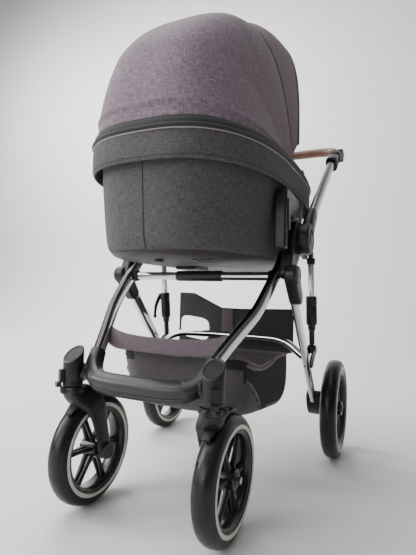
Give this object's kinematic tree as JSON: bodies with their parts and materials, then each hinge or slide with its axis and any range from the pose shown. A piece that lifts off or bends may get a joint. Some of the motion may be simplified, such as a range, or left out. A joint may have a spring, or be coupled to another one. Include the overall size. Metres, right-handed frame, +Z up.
{
  "type": "baby stroller",
  "caption": "Folding baby stroller with a hooded carrycot, swivelling front wheels, a shopping basket and a leather-covered tilting handlebar.",
  "frame": {"origin": "on the ground, under the middle of the whole stroller", "axes": "+Z up, -Y towards the front wheels, +X towards the left side of the person who pushes it"},
  "size_m": [0.599, 0.9918, 1.1788],
  "materials": {
    "soft_black": "soft-touch satin",
    "chrome": "polished",
    "black_plastic": "fine grain",
    "dark_chrome": "dark polished",
    "button_metal": "satin",
    "grey_plastic": "fine grain",
    "leather": "smooth, stitched",
    "tyre": "glossy rubber with a pale line",
    "rim_plastic": "gloss",
    "cot_fabric": "melange weave",
    "zip_tape": "ribbed tape",
    "tray_plastic": "grained",
    "mattress_fabric": "soft knit",
    "hood_fabric": "melange weave",
    "basket_fabric": "plain weave",
    "basket_mesh": "coarse weave"
  },
  "bodies": {
    "chassis": {"bumper": "soft_black", "left_front_tube": "chrome", "right_front_tube": "chrome", "left_hinge_housing": "black_plastic", "right_hinge_housing": "black_plastic", "cross_tube": "chrome", "cross_sleeve": "soft_black", "left_swivel_housing": "black_plastic", "right_swivel_housing": "black_plastic", "basket": "basket_fabric", "basket_strap": "basket_fabric", "basket_rear_panel": "basket_mesh"},
    "left_swivel_lock": {"left_swivel_lock": "black_plastic"},
    "right_swivel_lock": {"right_swivel_lock": "black_plastic"},
    "handle": {"left_handle_tube": "dark_chrome", "right_handle_tube": "dark_chrome", "left_handle_hinge": "black_plastic", "right_handle_hinge": "black_plastic", "left_tilt_knuckle": "black_plastic", "right_tilt_knuckle": "black_plastic"},
    "left_release_slider": {"left_release_slider": "black_plastic"},
    "right_release_slider": {"right_release_slider": "black_plastic"},
    "left_tilt_button": {"left_tilt_button": "button_metal"},
    "right_tilt_button": {"right_tilt_button": "button_metal"},
    "handlebar": {"handlebar": "black_plastic", "handlebar_grip": "leather"},
    "rear_legs": {"left_rear_leg": "chrome", "right_rear_leg": "chrome", "leg_pivot_caps": "black_plastic", "rear_arch": "chrome", "axle_blocks": "black_plastic", "strut_feet": "black_plastic"},
    "brake_pedal": {"brake_pedal": "grey_plastic"},
    "left_strut_sleeve": {"left_strut_sleeve": "black_plastic"},
    "right_strut_sleeve": {"right_strut_sleeve": "black_plastic"},
    "left_strut_rod": {"left_strut_rod": "chrome"},
    "right_strut_rod": {"right_strut_rod": "chrome"},
    "transport_hook": {"transport_hook": "black_plastic"},
    "left_fork": {"left_fork": "black_plastic"},
    "left_front_wheel": {"left_front_tyre": "tyre", "left_front_rim": "rim_plastic"},
    "left_rear_wheel": {"left_rear_tyre": "tyre", "left_rear_rim": "rim_plastic"},
    "right_fork": {"right_fork": "black_plastic"},
    "right_front_wheel": {"right_front_tyre": "tyre", "right_front_rim": "rim_plastic"},
    "right_rear_wheel": {"right_rear_tyre": "tyre", "right_rear_rim": "rim_plastic"},
    "carrycot": {"carrycot_shell": "cot_fabric", "carrycot_zip": "zip_tape", "carrycot_tray": "tray_plastic", "mattress": "mattress_fabric", "apron": "cot_fabric", "cot_brackets": "black_plastic", "hood_hubs": "black_plastic", "hood_front": "hood_fabric"},
    "backrest_knob": {"backrest_knob": "black_plastic"},
    "hood_mid_bow": {"hood_mid_bow": "black_plastic", "hood_rear": "hood_fabric"},
    "hood_rear_bow": {"hood_rear_bow": "black_plastic"}
  },
  "joints": [
    {"name": "handle_fold", "type": "hinge", "parent": "chassis", "child": "handle", "pos_m": [0, -0.1196, 0.59], "axis": [1, 0, 0], "range_deg": [0, 150]},
    {"name": "rear_leg_fold", "type": "hinge", "parent": "chassis", "child": "rear_legs", "pos_m": [0, -0.1946, 0.501], "axis": [1, 0, 0], "range_deg": [-34, 0], "deforming": ["basket", "basket_strap"]},
    {"name": "left_strut_swing", "type": "hinge", "parent": "rear_legs", "child": "left_strut_sleeve", "pos_m": [0.23, 0.0464, 0.31], "axis": [1, 0, 0], "range_deg": [0, 8.75]},
    {"name": "left_strut_slide", "type": "slide", "parent": "left_strut_sleeve", "child": "left_strut_rod", "axis": [0, -0.1322, 0.9912], "range_m": [0, 0.1181]},
    {"name": "right_strut_swing", "type": "hinge", "parent": "rear_legs", "child": "right_strut_sleeve", "pos_m": [-0.23, 0.0464, 0.31], "axis": [1, 0, 0], "range_deg": [0, 8.75]},
    {"name": "right_strut_slide", "type": "slide", "parent": "right_strut_sleeve", "child": "right_strut_rod", "axis": [0, -0.1322, 0.9912], "range_m": [0, 0.1181]},
    {"name": "handlebar_tilt", "type": "hinge", "parent": "handle", "child": "handlebar", "pos_m": [0, 0.4004, 0.955], "axis": [1, 0, 0], "range_deg": [-60, 60]},
    {"name": "left_button_press", "type": "slide", "parent": "handle", "child": "left_tilt_button", "axis": [-1, 0, 0], "range_m": [0, 0.004], "stiffness_N_per_m": 400},
    {"name": "left_release_pull", "type": "slide", "parent": "handle", "child": "left_release_slider", "axis": [0, 0.866, 0.5], "range_m": [0, 0.014], "stiffness_N_per_m": 250},
    {"name": "left_swivel", "type": "hinge", "parent": "chassis", "child": "left_fork", "pos_m": [0.158, -0.4461, 0.25], "axis": [0, 0, 1], "continuous": true},
    {"name": "left_front_spin", "type": "hinge", "parent": "left_fork", "child": "left_front_wheel", "pos_m": [0.158, -0.3801, 0.1158], "axis": [1, 0, 0], "continuous": true},
    {"name": "left_rear_spin", "type": "hinge", "parent": "rear_legs", "child": "left_rear_wheel", "pos_m": [0.2775, 0.1404, 0.136], "axis": [1, 0, 0], "continuous": true},
    {"name": "left_lock_press", "type": "slide", "parent": "chassis", "child": "left_swivel_lock", "axis": [0, 0, -1], "range_m": [0, 0.005]},
    {"name": "right_button_press", "type": "slide", "parent": "handle", "child": "right_tilt_button", "axis": [1, 0, 0], "range_m": [0, 0.004], "stiffness_N_per_m": 400},
    {"name": "right_release_pull", "type": "slide", "parent": "handle", "child": "right_release_slider", "axis": [0, 0.866, 0.5], "range_m": [0, 0.014], "stiffness_N_per_m": 250},
    {"name": "right_swivel", "type": "hinge", "parent": "chassis", "child": "right_fork", "pos_m": [-0.158, -0.4461, 0.25], "axis": [0, 0, 1], "continuous": true},
    {"name": "right_front_spin", "type": "hinge", "parent": "right_fork", "child": "right_front_wheel", "pos_m": [-0.158, -0.3801, 0.1158], "axis": [1, 0, 0], "continuous": true},
    {"name": "right_rear_spin", "type": "hinge", "parent": "rear_legs", "child": "right_rear_wheel", "pos_m": [-0.2775, 0.1404, 0.136], "axis": [1, 0, 0], "continuous": true},
    {"name": "right_lock_press", "type": "slide", "parent": "chassis", "child": "right_swivel_lock", "axis": [0, 0, -1], "range_m": [0, 0.005]},
    {"name": "brake_press", "type": "hinge", "parent": "rear_legs", "child": "brake_pedal", "pos_m": [-0.225, 0.1764, 0.122], "axis": [1, 0, 0], "range_deg": [-18, 0]},
    {"name": "hook_swing", "type": "hinge", "parent": "right_strut_sleeve", "child": "transport_hook", "pos_m": [-0.249, 0.02869, 0.44282], "axis": [1, 0, 0], "range_deg": [-30, 15]},
    {"name": "carrycot_lift", "type": "slide", "parent": "chassis", "child": "carrycot", "axis": [0, 0, 1], "range_m": [0, 0.2]},
    {"name": "backrest_turn", "type": "hinge", "parent": "carrycot", "child": "backrest_knob", "pos_m": [-0.02, -0.3496, 0.525], "axis": [0, 0, 1], "range_deg": [0, 90]},
    {"name": "hood_fold", "type": "hinge", "parent": "carrycot", "child": "hood_mid_bow", "pos_m": [0, -0.0096, 0.779], "axis": [1, 0, 0], "range_deg": [0, 51], "deforming": ["hood_front", "hood_rear"]},
    {"name": "hood_rear_fold", "type": "hinge", "parent": "hood_mid_bow", "child": "hood_rear_bow", "pos_m": [0, -0.0096, 0.779], "axis": [1, 0, 0], "range_deg": [0, 24.1]}
  ],
  "couplings": [
    {"joint": "rear_leg_fold", "follows": "handle_fold", "ratio": -0.22667},
    {"joint": "left_strut_swing", "follows": "handle_fold", "ratio": 0.058},
    {"joint": "left_strut_slide", "follows": "handle_fold", "m_per_rad": 0.04492},
    {"joint": "right_strut_swing", "follows": "handle_fold", "ratio": 0.058},
    {"joint": "right_strut_slide", "follows": "handle_fold", "m_per_rad": 0.04492},
    {"joint": "hood_rear_fold", "follows": "hood_fold", "ratio": 0.4706}
  ]
}
